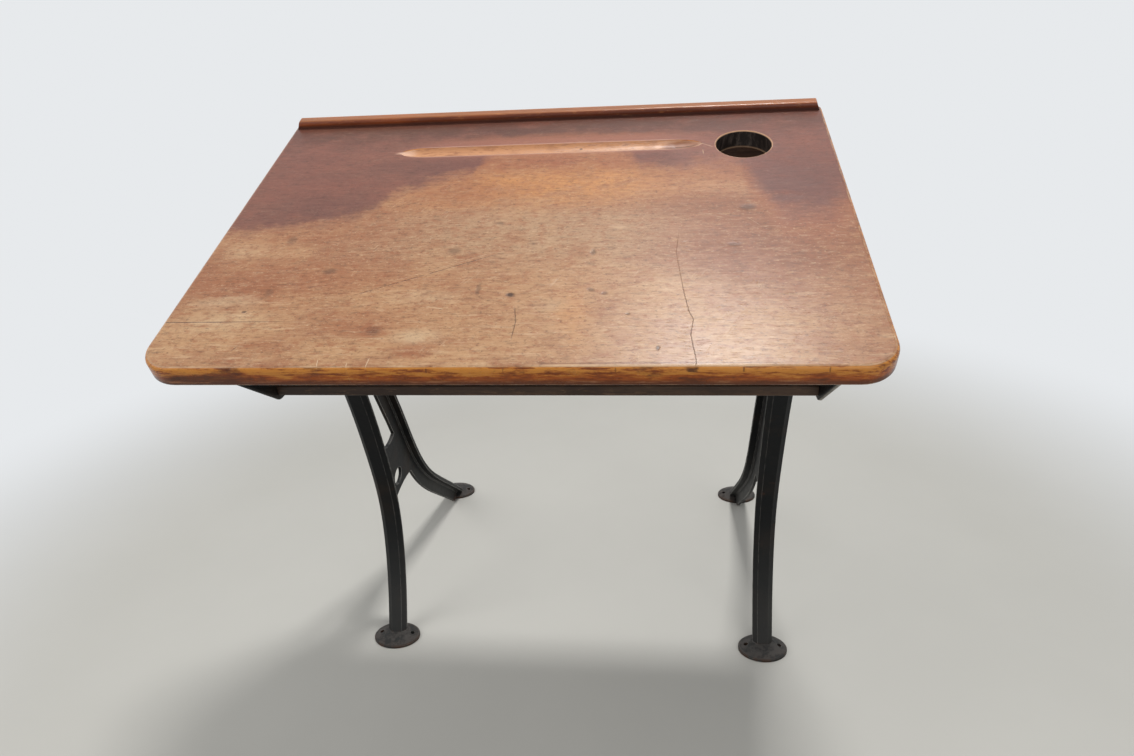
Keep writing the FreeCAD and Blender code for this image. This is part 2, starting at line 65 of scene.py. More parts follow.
# one material and the nodes it is made of
class Paint:
    def __init__(self, name):
        self.material = bpy.data.materials.new(name)
        self.material.use_nodes = True
        self.tree = self.material.node_tree
        self.shader = self.tree.nodes["Principled BSDF"]
        self.place = self.node("ShaderNodeTexCoord", out="Object")
        self.facing = self.node("ShaderNodeNewGeometry", out="Normal")

    def feed(self, socket, value):
        if isinstance(value, Value):
            self.tree.links.new(value.socket, socket)
        elif socket.type == "RGBA" and len(value) == 3:
            socket.default_value = (*value, 1.0)
        else:
            socket.default_value = value

    def node(self, kind, settings=None, inputs=None, out=0):
        made = self.tree.nodes.new(kind)
        for key, value in (settings or {}).items():
            if key == "stops":
                self.fillRamp(made.color_ramp, value)
            elif key == "easing":
                made.color_ramp.interpolation = value
            else:
                setattr(made, key, value)
        for key, value in (inputs or {}).items():
            self.feed(made.inputs[key], value)
        return Value(self, made.outputs[out])

    def fillRamp(self, ramp, stops):
        while len(ramp.elements) < len(stops):
            ramp.elements.new(1.0)
        for element, (position, color) in zip(ramp.elements, stops):
            element.position = position
            element.color = (*color, 1.0)

    def math(self, operation, *values):
        return self.node("ShaderNodeMath", {"operation": operation}, dict(enumerate(values)))

    def larger(self, a, b):
        return self.math("MAXIMUM", a, b)

    def smooth(self, value, low, high):
        # 0 at low, 1 at high, whichever is the larger
        return self.node("ShaderNodeMapRange", {"interpolation_type": "SMOOTHSTEP"},
                         {"Value": value, "From Min": low, "From Max": high})

    def mix(self, factor, a, b, blend="MIX"):
        return self.node("ShaderNodeMix", {"data_type": "RGBA", "blend_type": blend},
                         {0: factor, 6: a, 7: b}, 2)

    def dot(self, vector, direction):
        return self.node("ShaderNodeVectorMath", {"operation": "DOT_PRODUCT"},
                         {0: vector, 1: direction}, "Value")

    def moved(self, vector, location=(0, 0, 0), rotation=(0, 0, 0), scale=(1, 1, 1)):
        return self.node("ShaderNodeMapping", None,
                         {"Vector": vector, "Location": location, "Rotation": rotation, "Scale": scale})

    def parts(self, vector):
        split = self.node("ShaderNodeSeparateXYZ", None, {0: vector}).socket.node
        return [Value(self, output) for output in split.outputs]

    def noise(self, vector, scale, detail=2.0, roughness=0.5):
        return self.node("ShaderNodeTexNoise", None,
                         {"Vector": vector, "Scale": scale, "Detail": detail, "Roughness": roughness}, "Fac")

    def layer(self, place, offset, squeeze, scale, detail, roughness):
        # noise on a place that is first moved and squeezed
        return self.noise(self.moved(place, location=offset, scale=squeeze), scale, detail, roughness)

    def follow(self, value, points, low, high):
        # value read off a straight-sided line through (input, output) points; outputs lie between 0 and 1
        share = (value - low) * (1.0 / (high - low))
        stops = [((x - low) / (high - low), (y, y, y)) for x, y in points]
        return self.node("ShaderNodeValToRGB", {"stops": stops, "easing": "LINEAR"}, {"Fac": share}, "Color")

    def oval(self, x, y, centre, halves, soft):
        # 1 inside an oval, fading out over its rim
        dx = (x - centre[0]) * (1.0 / halves[0])
        dy = (y - centre[1]) * (1.0 / halves[1])
        return self.smooth(self.math("SQRT", dx * dx + dy * dy), 1.0 + soft, 1.0 - soft)

    def stroke(self, x, y, start, end, width, solidShare=0.3):
        # 1 on a straight scratch between two points
        length = math.hypot(end[0] - start[0], end[1] - start[1])
        way = ((end[0] - start[0]) / length, (end[1] - start[1]) / length)
        along = (x - start[0]) * way[0] + (y - start[1]) * way[1]
        across = abs((x - start[0]) * way[1] - (y - start[1]) * way[0])
        ends = self.smooth(abs(along - length / 2), length / 2, length * solidShare)
        return self.smooth(across, width, width * solidShare) * ends

    def bump(self, height, depth, normal=None):
        inputs = {"Height": height, "Distance": depth, "Strength": 1.0}
        if normal is not None:
            inputs["Normal"] = normal
        return self.node("ShaderNodeBump", None, inputs)

    def finish(self, color, roughness, normal, **constants):
        self.feed(self.shader.inputs["Base Color"], color)
        self.feed(self.shader.inputs["Roughness"], roughness)
        self.feed(self.shader.inputs["Normal"], normal)
        for key, value in constants.items():
            self.feed(self.shader.inputs[key.replace("_", " ")], value)
        return self.material


# where the top lies: x across, v up its slope, w out of its face
top = {
    "slope": math.radians(19.4),
    "frontHeight": 0.614,
    "arrisRadius": 0.0045,
}
rise = math.sin(top["slope"])
run = math.cos(top["slope"])
topOut = Vector((0, -rise, run))
topLead = top["arrisRadius"] * (run + rise - 1)
topStart = Vector((0, cadBounds[0][1] - topLead, top["frontHeight"]))


def onTop(paint):
    turned = Matrix.Rotation(-top["slope"], 3, "X") @ topStart
    place = paint.moved(paint.place, location=-turned, rotation=(-top["slope"], 0, 0))
    return place, *paint.parts(place)


# growth bands, fibres and pores, all drawn out along x: stretch, detail, roughness
figure = {
    "bands": (22.0, 3.0, 0.55),
    "fibres": (40.0, 4.0, 0.65),
    "pores": (14.0, 2.0, 0.50),
    "openPores": (0.60, 0.70),
}


def woodFigure(paint, place, look):
    wander = paint.noise(place, look["wander"])
    sway = paint.node("ShaderNodeCombineXYZ", None, {"Y": (wander - 0.5) * look["sway"]})
    bent = paint.node("ShaderNodeVectorMath", {"operation": "ADD"}, {0: place, 1: sway})
    drawn = []
    for name in ("bands", "fibres", "pores"):
        stretch, detail, roughness = figure[name]
        squeezed = paint.moved(bent, scale=(1.0, stretch, stretch))
        drawn.append(paint.noise(squeezed, look[name], detail, roughness))
    bands, fibres, pores = drawn
    return bands, fibres, paint.smooth(pores, *figure["openPores"])


topColors = {
    "brown": (0.310, 0.140, 0.070),
    "tan": (0.460, 0.262, 0.132),
    "grey": (0.385, 0.232, 0.130),
    "ash": (0.520, 0.350, 0.205),
    "gold": (0.480, 0.210, 0.068),
    "red": (0.280, 0.094, 0.040),
    "umber": (0.205, 0.070, 0.026),
    "stain": (0.190, 0.066, 0.046),
    "stainPale": (0.240, 0.100, 0.074),
    "stainDeep": (0.120, 0.046, 0.038),
    # dirt along the rail, with painted shade of the rail
    "backDirtAndShade": (0.060, 0.020, 0.015),
    "dirt": (0.050, 0.024, 0.016),
    "bare": (0.620, 0.430, 0.265),
    "varnish": (0.350, 0.072, 0.006),
    "varnishLight": (0.590, 0.230, 0.036),
    "varnishDark": (0.050, 0.012, 0.004),
    # dark varnish, also used as painted shade on the lower front face
    "varnishLowAndShade": (0.078, 0.022, 0.010),
    "lowEdge": (0.360, 0.150, 0.070),
    "underside": (0.200, 0.100, 0.052),
}

topFigure = {
    "wander": 5.0, "sway": 0.012, "bands": 1.5, "fibres": 16.0, "pores": 80.0,
    # noises: offset, squeeze, scale, detail, roughness
    "noises": {
        "blotch": ((0, 0, 0), (1.0, 1.0, 1.0), 8.0, 4.0, 0.60),
        "mottle": ((0, 0, 0), (1.0, 1.6, 1.0), 30.0, 4.0, 0.65),
        "cloud": ((7, 2, 0), (1.0, 1.5, 1.5), 100.0, 4.0, 0.70),
        "specks": ((2, 5, 0), (1.0, 1.6, 1.6), 260.0, 3.0, 0.60),
        "grain": ((5, 3, 0), (1.0, 3.0, 3.0), 70.0, 4.0, 0.75),
        "streaks": ((1, 8, 0), (1.0, 7.0, 7.0), 18.0, 5.0, 0.70),
        "runs": ((0, 0, 0), (1.0, 8.0, 8.0), 30.0, 5.0, 0.75),
        "smudge": ((4, 0, 0), (1.0, 2.4, 2.4), 24.0, 5.0, 0.70),
    },
    "faceTurn": (0.90, 0.97),
    "driftMottle": (0.035, 0.030),
    "driftBlotch": 0.050,
    "tremble": 0.0010,
}


# the places, noises and directions that every layer of the top reads
class TopField:
    def __init__(self, paint):
        look = topFigure
        self.place, self.x, self.v, self.w = onTop(paint)
        self.bands, self.fibres, self.pores = woodFigure(paint, self.place, look)
        for name, settings in look["noises"].items():
            setattr(self, name, paint.layer(self.place, *settings))
        self.facingOut = paint.dot(paint.facing, topOut)
        self.onFace = paint.smooth(self.facingOut, *look["faceTurn"])
        self.driftX = (self.x + (self.mottle - 0.5) * look["driftMottle"][0]
                       + (self.blotch - 0.5) * look["driftBlotch"])
        self.driftV = self.v + (self.mottle - 0.5) * look["driftMottle"][1]
        self.tremble = (self.fibres - 0.5) * look["tremble"]


# smooth-edged patches of one layer, mixed over a colour
def addPatches(paint, color, x, v, patches, breakUp):
    patchSoftness = 0.75
    for name, centre, halves, strength in patches:
        mask = paint.oval(x, v, centre, halves, patchSoftness)
        color = paint.mix(mask * breakUp * strength, color, topColors[name])
    return color


# one noise or mask, laid over a colour in another tone
def tint(paint, color, value, limits, strength, name):
    return paint.mix(paint.smooth(value, *limits) * strength, color, topColors[name])


# worn varnish over the writing surface
wornLook = {
    # worn and faded places: colour, centre, half sizes, strength; the tan ones along the front also carry
    # painted light, the front being painted lighter
    "patches": [
        ("tan", (-0.262, 0.168), (0.036, 0.018), 0.60), ("tan", (-0.250, 0.045), (0.070, 0.032), 0.80),
        ("tan", (-0.080, 0.024), (0.100, 0.018), 0.70), ("tan", (0.010, 0.105), (0.120, 0.040), 0.55),
        ("tan", (0.120, 0.050), (0.160, 0.050), 0.70), ("grey", (0.000, 0.190), (0.150, 0.046), 0.85),
        ("grey", (0.110, 0.175), (0.075, 0.040), 0.45), ("gold", (0.052, 0.055), (0.012, 0.034), 0.60),
        ("gold", (0.030, 0.284), (0.120, 0.044), 0.90), ("gold", (-0.110, 0.250), (0.060, 0.022), 0.20),
        ("red", (0.240, 0.175), (0.090, 0.060), 0.95), ("red", (-0.225, 0.115), (0.075, 0.030), 0.65),
        ("red", (-0.120, 0.055), (0.040, 0.020), 0.60), ("red", (0.005, 0.320), (0.130, 0.020), 1.00),
        ("red", (-0.070, 0.262), (0.055, 0.020), 0.50), ("umber", (0.235, 0.165), (0.090, 0.055), 0.95),
        ("umber", (0.205, 0.226), (0.090, 0.020), 0.75), ("tan", (0.005, 0.034), (0.080, 0.030), 0.75),
        ("ash", (-0.245, 0.060), (0.034, 0.013), 0.60), ("ash", (-0.252, 0.086), (0.026, 0.008), 0.55),
        ("ash", (-0.080, 0.090), (0.026, 0.007), 0.50), ("ash", (0.150, 0.110), (0.030, 0.012), 0.30),
        ("ash", (-0.268, 0.165), (0.020, 0.010), 0.45), ("red", (-0.060, 0.032), (0.022, 0.008), 0.55),
        ("red", (-0.140, 0.120), (0.050, 0.016), 0.40), ("red", (-0.200, 0.185), (0.060, 0.010), 0.45)],
    # small marks in other tones
    "smallMarks": [
        ("ash", (-0.0735, 0.0385), (0.0180, 0.0080), 0.85), ("ash", (-0.262, 0.088), (0.022, 0.005), 0.45),
        ("red", (-0.1155, 0.0457), (0.0110, 0.0070), 0.85), ("red", (-0.074, 0.0196), (0.015, 0.007), 0.75),
        ("ash", (0.035, 0.078), (0.014, 0.008), 0.35), ("red", (-0.205, 0.030), (0.020, 0.008), 0.45)],
    "tanLimits": (0.60, 0.84), "tanMottle": 0.4, "tanShare": 0.8,
    "bandLimits": (0.40, 0.68), "bandShare": 0.30,
    "patchLimits": (0.20, 0.60),
    "redLimits": (0.46, 0.68), "redShare": 0.55,
    "fadeLimits": (0.68, 0.50), "fadeMottle": 0.5, "fadeShare": 0.45,
    "markLimits": (0.20, 0.50),
    "markDrift": (0.012, 0.008),
}


def wornVarnish(paint, at):
    look = wornLook
    tanPart = paint.smooth(at.blotch + at.mottle * look["tanMottle"], *look["tanLimits"]) * look["tanShare"]
    color = paint.mix(tanPart, topColors["brown"], topColors["tan"])
    color = tint(paint, color, at.bands, look["bandLimits"], look["bandShare"], "red")
    color = addPatches(paint, color, at.driftX, at.driftV, look["patches"],
                       paint.smooth(at.mottle, *look["patchLimits"]))
    color = tint(paint, color, at.cloud, look["redLimits"], look["redShare"], "red")
    faded = at.cloud + at.mottle * look["fadeMottle"]
    color = tint(paint, color, faded, look["fadeLimits"], look["fadeShare"], "tan")
    markX = at.x + (at.mottle - 0.5) * look["markDrift"][0]
    markV = at.v + (at.cloud - 0.5) * look["markDrift"][1]
    return addPatches(paint, color, markX, markV, look["smallMarks"],
                      paint.smooth(at.cloud, *look["markLimits"]))


# dark stain along the back
stainLook = {
    # lower limit of the stain, as (x, v)
    "edge": [(-0.305, 0.196), (-0.255, 0.201), (-0.195, 0.216), (-0.160, 0.236), (-0.148, 0.262),
             (-0.110, 0.286), (-0.070, 0.301), (-0.062, 0.331), (-0.045, 0.352), (0.080, 0.352),
             (0.095, 0.331), (0.105, 0.300), (0.150, 0.300), (0.165, 0.312), (0.205, 0.308), (0.222, 0.256),
             (0.237, 0.216), (0.280, 0.206), (0.300, 0.236)],
    "reach": (-0.32, 0.32),
    "patches": [
        ("stainDeep", (-0.210, 0.236), (0.065, 0.022), 0.75),
        ("stainDeep", (-0.120, 0.312), (0.055, 0.020), 0.75),
        ("stainDeep", (0.135, 0.318), (0.036, 0.018), 0.70),
        ("stainDeep", (0.258, 0.262), (0.050, 0.050), 0.85),
        ("stainPale", (0.178, 0.322), (0.030, 0.030), 0.45),
        # a dark band along the back: dirt, and painted shade of the rail
        ("backDirtAndShade", (0.000, 0.405), (0.420, 0.030), 0.85),
        ("red", (0.020, 0.372), (0.110, 0.010), 0.60)],
    "raggedMottle": 0.055, "raggedCloud": 0.020,
    # the stain fades over a wider strip toward the right
    "softStrip": 0.018, "softExtra": 0.016, "softSide": (0.12, 0.24),
    "haloLimits": (-0.070, -0.008), "haloSide": (0.08, 0.20), "haloLeft": 0.20, "haloExtra": 0.65,
    "deepLimits": (0.35, 0.65), "deepShare": 0.5,
    "patchLimits": (0.10, 0.55),
    "cover": 0.90,
}


def backStain(paint, at, color):
    look = stainLook
    edge = paint.follow(at.x, look["edge"], *look["reach"])
    ragged = (at.mottle - 0.5) * look["raggedMottle"] + (at.cloud - 0.5) * look["raggedCloud"]
    depth = at.v + ragged - edge
    strip = paint.smooth(at.x, *look["softSide"]) * look["softExtra"] + look["softStrip"]
    stain = paint.smooth(depth + strip, 0.0, strip * 2)
    haloShare = paint.smooth(at.x, *look["haloSide"]) * look["haloExtra"] + look["haloLeft"]
    color = paint.mix(paint.smooth(depth, *look["haloLimits"]) * haloShare, color, topColors["red"])
    deep = paint.smooth(at.mottle, *look["deepLimits"]) * look["deepShare"]
    stainColor = paint.mix(deep, topColors["stain"], topColors["stainDeep"])
    stainColor = addPatches(paint, stainColor, at.driftX, at.driftV, look["patches"],
                            paint.smooth(at.mottle, *look["patchLimits"]))
    return paint.mix(stain * look["cover"], color, stainColor), stain


# fibres, pores, specks and hairlines show through everything
grainLook = {
    # noise, limits, share, colour; the pale ones fade in the stain
    "layers": [("fibres", (0.48, 0.74), 0.18, "dirt"), ("fibres", (0.46, 0.26), 0.18, "bare"),
               ("grain", (0.51, 0.68), 0.34, "dirt"), ("grain", (0.47, 0.30), 0.27, "bare"),
               ("pores", (0.00, 1.00), 0.16, "dirt"),
               ("specks", (0.56, 0.70), 0.46, "dirt"), ("specks", (0.42, 0.28), 0.40, "bare")],
    "stainFade": 0.65, "backFade": (0.30, 0.16), "backShare": 0.45,
    "streakLimits": (0.54, 0.66), "streakFront": (0.20, 0.02), "streakFrontShare": 0.8, "streakShare": 0.34,
    # hairlines: turn, scale, offset, half width
    "paleHairs": [(0.45, 7.0, 1.0, 0.010), (-1.1, 6.0, 4.0, 0.009), (0.08, 8.0, 9.0, 0.012)],
    "darkHairs": (-0.25, 6.0, 6.0, 0.009),
    "paleShare": 0.24, "darkShare": 0.30,
    "hairStretch": 26.0, "hairDetail": 1.0, "hairSolid": 0.2,
    "breakScale": 40.0, "breakLimits": (0.58, 0.70),
}


# hairline marks in one direction, broken into short lengths
def hairlines(paint, place, turn, scale, offset, width):
    look = grainLook
    turned = paint.moved(place, location=(offset, offset, 0), rotation=(0, 0, turn))
    wave = paint.noise(paint.moved(turned, scale=(1.0, look["hairStretch"], 1.0)), scale, look["hairDetail"])
    line = paint.smooth(abs(wave - 0.5), width, width * look["hairSolid"])
    return line * paint.smooth(paint.noise(turned, look["breakScale"]), *look["breakLimits"])


def fineGrain(paint, at, color, stain):
    look = grainLook
    backPart = paint.smooth(at.v, *look["backFade"]) * look["backShare"] + (1 - look["backShare"])
    fresh = (1 - stain * look["stainFade"]) * backPart
    frontShare = look["streakFrontShare"]
    frontPart = paint.smooth(at.v, *look["streakFront"]) * frontShare + (1 - frontShare)
    streaks = paint.smooth(at.streaks, *look["streakLimits"]) * frontPart * fresh
    color = paint.mix(streaks * look["streakShare"], color, topColors["bare"])
    for noise, limits, share, name in look["layers"]:
        mask = at.pores if noise == "pores" else paint.smooth(getattr(at, noise), *limits)
        mask = mask * fresh if name == "bare" else mask
        color = paint.mix(mask * share, color, topColors[name])
    hairs = 0
    for settings in look["paleHairs"]:
        hairs = paint.larger(hairs, hairlines(paint, at.place, *settings))
    hairs = hairs * at.onFace
    color = paint.mix(hairs * fresh * look["paleShare"], color, topColors["bare"])
    darkHairs = hairlines(paint, at.place, *look["darkHairs"]) * at.onFace
    return paint.mix(darkHairs * look["darkShare"], color, topColors["dirt"]), hairs


# glue line, cracks, spots and scratches
markLook = {
    # spots: centre, half sizes, strength
    "spots": [
        ((-0.175, 0.131), (0.0060, 0.0045), 0.40), ((-0.064, 0.159), (0.0060, 0.0050), 0.35),
        ((0.065, 0.153), (0.0022, 0.0045), 0.45), ((0.190, 0.161), (0.0050, 0.0028), 0.40),
        ((-0.032, 0.100), (0.0022, 0.0080), 0.35), ((-0.003, 0.092), (0.0036, 0.0030), 0.75),
        ((0.066, 0.098), (0.0028, 0.0024), 0.40), ((0.078, 0.093), (0.0022, 0.0022), 0.40),
        ((0.122, 0.023), (0.0016, 0.0026), 0.70), ((-0.2353, 0.0726), (0.0020, 0.0017), 0.60),
        ((0.207, 0.222), (0.0070, 0.0050), 0.45), ((0.098, 0.065), (0.0020, 0.0014), 0.50),
        ((-0.222, 0.100), (0.0040, 0.0050), 0.30), ((-0.112, 0.046), (0.0060, 0.0050), 0.30),
        ((-0.229, 0.182), (0.0045, 0.0060), 0.30), ((-0.027, 0.204), (0.0040, 0.0022), 0.35)],
    "spotDrift": 0.006, "spotSoftness": 0.6, "spotShare": 1.20,
    # scratches: from, to, half width, strength; above 0 pale, below 0 dark
    "scratches": [
        ((-0.160, 0.086), (-0.008, 0.160), 0.00060, -0.80),
        ((-0.120, 0.1095), (-0.020, 0.1590), 0.00050, 0.34),
        ((-0.112, 0.108), (-0.205, 0.083), 0.00040, -0.25),
        ((0.105, 0.118), (0.166, 0.116), 0.00035, 0.30),
        ((-0.1465, -0.003), (-0.1490, 0.012), 0.00050, 0.95),
        ((-0.1225, -0.003), (-0.1240, 0.010), 0.00045, 0.90),
        ((-0.1075, -0.003), (-0.1065, 0.014), 0.00045, 0.90),
        ((-0.141, 0.0020), (-0.128, 0.0030), 0.00040, 0.60),
        ((0.205, 0.205), (0.216, 0.190), 0.00045, 0.45),
        ((-0.252, 0.302), (-0.150, 0.352), 0.00035, 0.14),
        ((0.167, 0.351), (0.182, 0.340), 0.00090, 0.40),
        ((0.1700, 0.337), (0.1705, 0.325), 0.00070, 0.50),
        ((-0.0750, 0.0778), (-0.0565, 0.0738), 0.00090, 0.60),
        ((-0.1420, 0.0340), (-0.1415, 0.0395), 0.00060, 0.60),
        ((-0.1720, 0.0530), (-0.1700, 0.0560), 0.00060, 0.50),
        ((-0.2271, 0.0209), (-0.2226, 0.0300), 0.00050, -0.50),
        ((0.020, 0.104), (0.046, 0.111), 0.00035, 0.35),
        ((0.160, 0.092), (0.245, 0.088), 0.00035, -0.30)],
    "scratchLimits": (0.34, 0.56),
    # cracks: (v, x) points, reach in v, half widths
    "crack": [(0.0, 0.1505), (0.0085, 0.1512), (0.0393, 0.1480), (0.0575, 0.1508), (0.0688, 0.1472),
              (0.0977, 0.1435), (0.1509, 0.1390), (0.1854, 0.1420), (0.2, 0.1425)],
    "crackReach": (0.0, 0.2), "crackHalf": (0.00045, 0.00010),
    "crackFaint": (0.125, 0.080), "crackFaintShare": 0.35,
    "crackEnd": (0.192, 0.165), "crackBreaks": (0.20, 0.50),
    "shortCrack": [(0.03, 0.0056), (0.0347, 0.0052), (0.0560, 0.0062), (0.0749, 0.0031), (0.08, 0.0025)],
    "shortReach": (0.03, 0.08), "shortHalf": (0.00055, 0.00010),
    "shortStart": (0.032, 0.040), "shortEnd": (0.078, 0.070), "shortShare": 0.9, "crackShare": 0.56,
    "glueAt": 0.0595, "glueWave": 0.0006, "glueHalf": (0.0007, 0.0002),
    "glueSide": (-0.16, -0.26), "glueShare": 0.75,
    "crackRelief": 1.4, "glueRelief": 0.8, "spotRelief": 1.2, "scratchRelief": 0.6,
}


def addMarks(paint, at, color):
    look = markLook
    glueLine = abs(at.v - look["glueAt"] - (at.blotch - 0.5) * look["glueWave"])
    glue = paint.smooth(glueLine, *look["glueHalf"]) * paint.smooth(at.x, *look["glueSide"]) * at.onFace
    crackAt = paint.follow(at.v, look["crack"], *look["crackReach"])
    faintShare = look["crackFaintShare"]
    faint = paint.smooth(at.v, *look["crackFaint"]) * (1 - faintShare) + faintShare
    crack = paint.smooth(abs(at.x - crackAt + at.tremble), *look["crackHalf"]) * faint
    crack = crack * paint.smooth(at.v, *look["crackEnd"]) * paint.smooth(at.cloud, *look["crackBreaks"])
    shortAt = paint.follow(at.v, look["shortCrack"], *look["shortReach"])
    short = paint.smooth(abs(at.x - shortAt + at.tremble), *look["shortHalf"])
    short = short * paint.smooth(at.v, *look["shortStart"]) * paint.smooth(at.v, *look["shortEnd"])
    cracks = paint.larger(crack, short * look["shortShare"]) * at.onFace
    color = paint.mix(glue * look["glueShare"], color, topColors["dirt"])
    color = paint.mix(cracks * look["crackShare"], color, topColors["dirt"])

    dents = 0
    spotX = at.x + (at.cloud - 0.5) * look["spotDrift"]
    spotV = at.v + (at.mottle - 0.5) * look["spotDrift"]
    for centre, halves, strength in look["spots"]:
        dents = paint.larger(dents, paint.oval(spotX, spotV, centre, halves, look["spotSoftness"]) * strength)
    color = paint.mix(dents * look["spotShare"] * at.onFace, color, topColors["dirt"])

    scratches = 0
    breaks = paint.smooth(at.cloud, *look["scratchLimits"])
    for start, end, width, strength in look["scratches"]:
        line = paint.stroke(at.x, at.v + at.tremble, start, end, width) * breaks * abs(strength)
        color = paint.mix(line, color, topColors["bare" if strength > 0 else "dirt"])
        scratches = paint.larger(scratches, line)
    cuts = (cracks * look["crackRelief"] + glue * look["glueRelief"] + dents * look["spotRelief"]
            + scratches * look["scratchRelief"])
    return color, cuts


# front face and ends keep their old orange varnish, with dark mottling; their arrises are worn; the front
# face is painted lighter toward its top and darker toward its bottom, as painted light and painted shade
edgeLook = {
    "sideTurn": (0.95, 0.80), "sideCover": 0.94,
    "glowRuns": 1.2, "litTop": (-0.0120, -0.0030), "litTopShare": 0.16, "glowSmudge": 0.35,
    "glowLimits": (0.44, 0.66),
    "smudgeLimits": (0.52, 0.65), "smudgeShare": 0.65,
    "runLimits": (0.50, 0.40), "runShare": 0.50,
    # dark patch near the left end
    "patchAt": -0.245, "patchDrift": 0.06, "patchHalf": (0.050, 0.020), "patchTop": (-0.0050, -0.0090),
    "patchShare": 0.75,
    # dark lower edge, painted shade where the face turns down, and its rubbed line
    "shadeLowDrift": 0.005, "shadeLowLimits": (-0.0100, -0.0160), "shadeLowShare": 0.88,
    "lineAt": -0.0142, "lineDrift": 0.004, "lineHalf": (0.0016, 0.0004),
    "lineRuns": (0.48, 0.62), "lineShare": 0.65,
    "endTurn": (0.75, 0.95), "endShare": 0.45,
    # worn arris
    "arrisFrom": (0.996, 0.97), "arrisTo": (0.86, 0.93), "arrisLimits": (0.60, 0.85), "arrisFibres": 0.4,
    "arrisShare": 0.45,
    # a thin dark line, and a pale line that is a painted highlight on the arris, along the right part of the
    # front
    "lineCentre": 0.115, "lineReach": (0.105, 0.070), "lineSway": 0.05,
    "darkLineAt": 0.0060, "darkLineHalf": (0.0010, 0.0002), "darkLineShare": 0.50,
    "arrisHighlightAt": 0.0034, "arrisHighlightHalf": (0.0014, 0.0004), "arrisHighlightShare": 0.60,
    # dark nicks along the front edge: centre along x, half width, strength
    "nicks": [(-0.058, 0.0006, 0.65), (0.003, 0.0005, 0.45), (0.090, 0.0008, 0.50), (0.148, 0.0070, 0.85),
              (0.186, 0.0010, 0.60), (0.249, 0.0008, 0.60), (-0.222, 0.0030, 0.45)],
    "nickSway": 2, "nickSolid": 0.3,
    "nickEdge": (0.0060, 0.0010), "nickAt": -0.0026, "nickDrift": 0.003, "nickHalf": (0.0024, 0.0008),
    "chipSpecks": 0.4, "chipLimits": (0.86, 0.94), "chipShare": 0.6,
    # lower arris and underside
    "lowerFrom": (-0.10, -0.35), "lowerTo": (-0.95, -0.75), "lowerCloud": 0.5, "lowerLimits": (0.82, 0.70),
    "lowerShare": 0.45, "belowTurn": (-0.80, -0.97),
    # dirt that gathers against the rail, with painted shade where the rail meets the top
    "railDirtAndShadeLimits": (0.404, 0.4165), "railDirtAndShadeShare": 0.40,
}


def oldVarnish(paint, at):
    look = edgeLook
    # varnish runs, painted lighter toward the top of the front face as painted light
    glow = (at.runs * look["glowRuns"] + paint.smooth(at.w, *look["litTop"]) * look["litTopShare"]
            - at.smudge * look["glowSmudge"])
    old = paint.mix(paint.smooth(glow, *look["glowLimits"]), topColors["varnish"], topColors["varnishLight"])
    old = tint(paint, old, at.smudge, look["smudgeLimits"], look["smudgeShare"], "varnishDark")
    old = tint(paint, old, at.runs, look["runLimits"], look["runShare"], "varnishDark")
    aside = abs(at.x - look["patchAt"] + (at.smudge - 0.5) * look["patchDrift"])
    patch = paint.smooth(aside, *look["patchHalf"]) * paint.smooth(at.w, *look["patchTop"])
    old = paint.mix(patch * look["patchShare"], old, topColors["varnishDark"])
    # painted shade on the lower part of the front face, where it turns down
    shadeLowW = at.w + (at.smudge - 0.5) * look["shadeLowDrift"]
    old = tint(paint, old, shadeLowW, look["shadeLowLimits"], look["shadeLowShare"], "varnishLowAndShade")
    offLine = abs(at.w - look["lineAt"] + (at.smudge - 0.5) * look["lineDrift"])
    line = paint.smooth(offLine, *look["lineHalf"]) * paint.smooth(at.runs, *look["lineRuns"])
    old = paint.mix(line * look["lineShare"], old, topColors["lowEdge"])
    endTurn = abs(paint.dot(paint.facing, (1, 0, 0)))
    return tint(paint, old, endTurn, look["endTurn"], look["endShare"], "varnishLowAndShade")


def frontNicks(paint, at, arris):
    look = edgeLook
    nicks = 0
    for centre, half, strength in look["nicks"]:
        aside = abs(at.x - centre + (at.cloud - 0.5) * half * look["nickSway"])
        nicks = paint.larger(nicks, paint.smooth(aside, half, half * look["nickSolid"]) * strength)
    fromLine = abs(at.w - look["nickAt"] + (at.cloud - 0.5) * look["nickDrift"])
    nicks = nicks * paint.smooth(at.v, *look["nickEdge"]) * paint.smooth(fromLine, *look["nickHalf"])
    chips = paint.smooth(at.cloud + at.specks * look["chipSpecks"], *look["chipLimits"]) * arris
    return paint.larger(nicks, chips * look["chipShare"])


